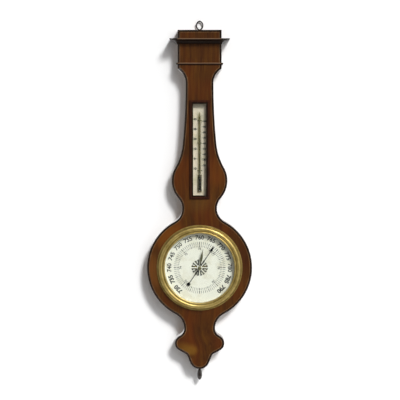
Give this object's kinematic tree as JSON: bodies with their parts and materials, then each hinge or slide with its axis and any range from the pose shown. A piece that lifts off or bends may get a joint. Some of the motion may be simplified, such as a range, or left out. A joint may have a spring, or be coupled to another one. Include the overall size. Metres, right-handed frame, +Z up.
{
  "type": "wall barometer with thermometer",
  "caption": "Banjo-shaped walnut wall barometer: round aneroid dial with a pressure hand and a set hand, thermometer above it, cornice on top and a wire loop to hang it by.",
  "frame": {"origin": "the point on the wall that the hanging loop bears on, inside the top of its eye", "axes": "+X to the right as seen from the front, +Y into the wall, +Z up"},
  "size_m": [0.2106, 0.043, 0.7239],
  "materials": {
    "walnut": "French-polished figured walnut veneer",
    "dark_wood": "polished dark walnut",
    "pale_wood": "pale boxwood line, polished",
    "ebonised_wood": "ebonised and polished",
    "iron": "dark worn iron",
    "clear_glass": "polished",
    "ivory_enamel": "satin cream paint",
    "dial_enamel": "satin white enamel",
    "dark_liquid": "dark liquid",
    "lacquered_brass": "polished and lacquered",
    "brass": "satin",
    "silvered_brass": "silvered, satin",
    "steel": "bright",
    "blued_steel": "blued"
  },
  "bodies": {
    "case": {"case_body": "walnut", "front_board": "walnut", "cornice_shelf": "dark_wood", "astragal": "dark_wood", "thermometer_frame": "dark_wood", "edge_stringing": "pale_wood", "edge_bead": "ebonised_wood", "cornice_cove": "ebonised_wood", "finial": "ebonised_wood", "frame_slip": "ebonised_wood", "hanger_plate": "iron", "hanging_loop": "iron", "thermometer_glass": "clear_glass", "dial_glass": "clear_glass", "thermometer_tube": "clear_glass", "scale_plate": "ivory_enamel", "dial_plate": "dial_enamel", "thermometer_liquid": "dark_liquid", "bezel": "lacquered_brass", "glass_ring": "lacquered_brass", "glass_bush": "lacquered_brass", "tube_clips": "lacquered_brass", "movement_drum": "brass", "drum_clips": "brass", "dial_feet": "brass", "base_plate": "brass", "spring_bracket": "brass", "shaft_posts": "brass", "hairspring_stud": "brass", "long_bridge": "brass", "bridge_pillars": "brass", "front_cock": "brass", "cock_pillars": "brass", "calibration_bush": "brass", "dial_surround": "silvered_brass", "capsule_back": "silvered_brass", "hanger_screws": "steel", "drum_screws": "steel", "base_screws": "steel", "bracket_screws": "steel", "hairspring": "blued_steel"},
    "pressure_hand": {"hand_arbor": "steel", "chain_drum": "brass", "hand_collet": "brass", "barometer_hand": "blued_steel", "hairspring_collet": "brass"},
    "marker": {"set_knob": "lacquered_brass", "set_hand": "lacquered_brass", "set_washer": "steel"},
    "chain_run": {"chain": "steel"},
    "rocker": {"rocking_shaft": "steel"},
    "lever": {"spring_carriage": "steel", "mainspring": "steel", "main_lever": "steel", "lever_rivets": "brass", "connecting_link": "brass"},
    "capsule_lid": {"capsule_front": "silvered_brass", "capsule_pin": "steel"},
    "adjuster": {"calibration_screw": "steel"}
  },
  "joints": [
    {"name": "capsule_breathe", "type": "slide", "parent": "case", "child": "capsule_lid", "axis": [0, 1, 0], "range_m": [-0.00048456, 0.0002905], "stiffness_N_per_m": 5000},
    {"name": "main_lever_swing", "type": "hinge", "parent": "case", "child": "lever", "pos_m": [0, -0.01, -0.527], "axis": [1, 0, 0], "range_deg": [-0.48, 0.81]},
    {"name": "rocking_shaft_turn", "type": "hinge", "parent": "case", "child": "rocker", "pos_m": [0, -0.0116, -0.458], "axis": [1, 0, 0], "range_deg": [-21.52, 12.9]},
    {"name": "chain_pull", "type": "slide", "parent": "case", "child": "chain_run", "axis": [0, 0, -1], "range_m": [-0.003, 0.0018]},
    {"name": "hand_turn", "type": "hinge", "parent": "case", "child": "pressure_hand", "pos_m": [0, -0.025, -0.492], "axis": [0, 1, 0], "range_deg": [-172.18, 103.22]},
    {"name": "set_hand_turn", "type": "hinge", "parent": "case", "child": "marker", "pos_m": [0, -0.032, -0.492], "axis": [0, 1, 0], "continuous": true},
    {"name": "calibration_turn", "type": "hinge", "parent": "case", "child": "adjuster", "pos_m": [0, -0.005, -0.5335], "axis": [0, 1, 0], "range_deg": [-360, 360]}
  ],
  "couplings": [
    {"joint": "main_lever_swing", "follows": "capsule_breathe", "rad_per_m": -28.571},
    {"joint": "rocking_shaft_turn", "follows": "capsule_breathe", "rad_per_m": 760},
    {"joint": "chain_pull", "follows": "capsule_breathe", "ratio": 6.08},
    {"joint": "hand_turn", "follows": "capsule_breathe", "rad_per_m": 6080}
  ]
}
